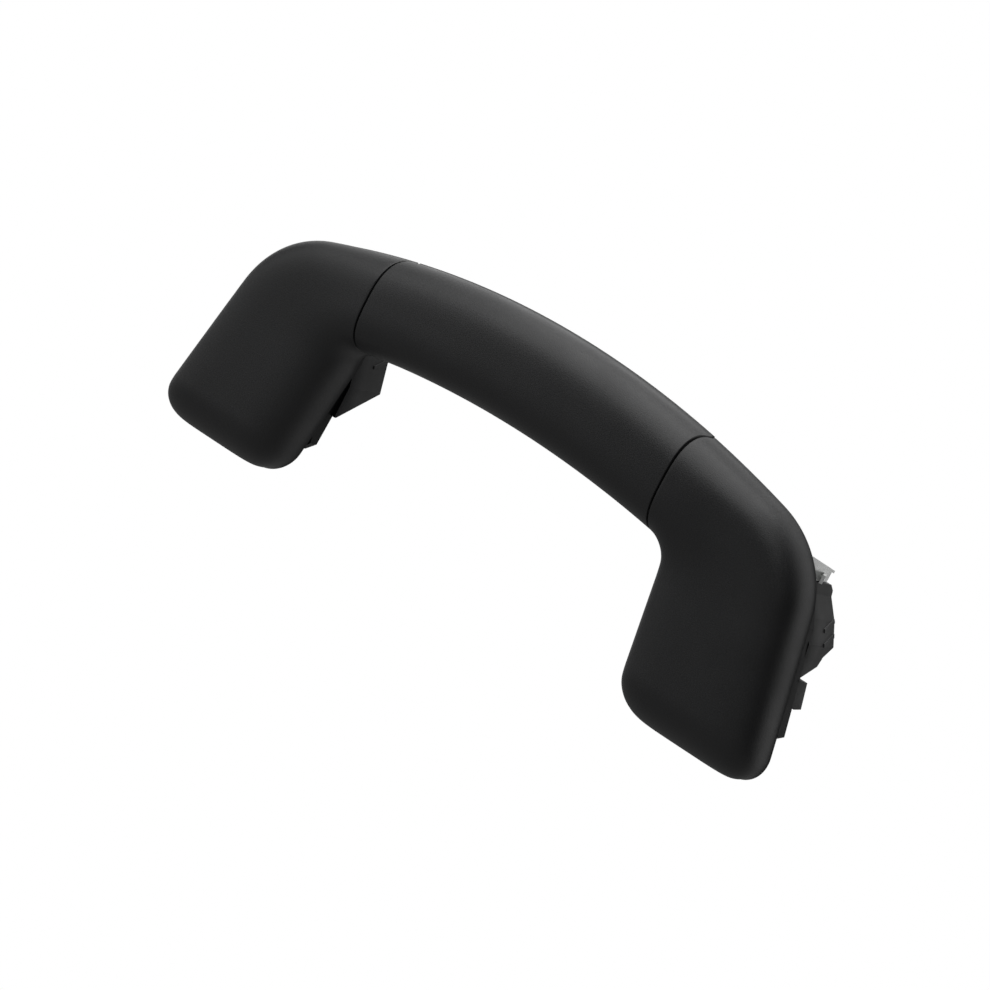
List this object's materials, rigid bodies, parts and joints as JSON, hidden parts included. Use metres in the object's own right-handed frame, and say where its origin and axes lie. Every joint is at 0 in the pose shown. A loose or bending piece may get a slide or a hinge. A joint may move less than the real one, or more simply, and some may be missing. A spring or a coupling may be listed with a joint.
{
  "type": "roof grab handle",
  "caption": "Folding roof grab handle: a soft black bowed grip on two legs, pivoting on plug-in roof brackets with a return spring and a damper.",
  "frame": {"origin": "midway between the two screw axes, in the plane where the brackets seat on the roof", "axes": "+X along the handle, +Y into the roof, along the screws, +Z from the pivots towards the grip"},
  "size_m": [0.2284, 0.0509, 0.0852],
  "materials": {
    "soft_black": "matte",
    "beam_nylon": "matte",
    "bracket_black": "satin",
    "cap_black": "matte",
    "clip_steel": "satin",
    "sleeve_steel": "satin",
    "pin_steel": "satin",
    "pad_rubber": "matte",
    "damper_white": "satin"
  },
  "bodies": {
    "left_mount": {"left_bracket": "bracket_black", "left_spring_clip": "clip_steel", "left_screw_sleeve": "sleeve_steel", "left_screw_cap": "cap_black", "return_spring": "pin_steel"},
    "handle": {"core_beam": "beam_nylon", "grip_front_shell": "soft_black", "grip_rear_cover": "soft_black", "left_end_shell": "soft_black", "right_end_shell": "soft_black", "left_hinge_pin": "pin_steel", "right_hinge_pin": "pin_steel", "grip_screws": "pin_steel", "left_stop_pad": "pad_rubber", "right_stop_pad": "pad_rubber", "damper_rotor": "beam_nylon"},
    "right_mount": {"right_bracket": "bracket_black", "right_spring_clip": "clip_steel", "right_screw_sleeve": "sleeve_steel", "right_screw_cap": "cap_black", "damper_housing": "damper_white"}
  },
  "joints": [
    {"name": "left_hinge", "type": "hinge", "parent": "left_mount", "child": "handle", "pos_m": [0, -0.016, -0.0345], "axis": [1, 0, 0], "range_deg": [0, 100], "stiffness_Nm_per_rad": 0.2, "springref_deg": -60.16, "deforming": ["return_spring"]},
    {"name": "right_hinge", "type": "hinge", "parent": "handle", "child": "right_mount", "pos_m": [0, -0.016, -0.0345], "axis": [1, 0, 0], "range_deg": [-100, 0]}
  ],
  "couplings": [
    {"joint": "right_hinge", "follows": "left_hinge", "ratio": -1}
  ]
}
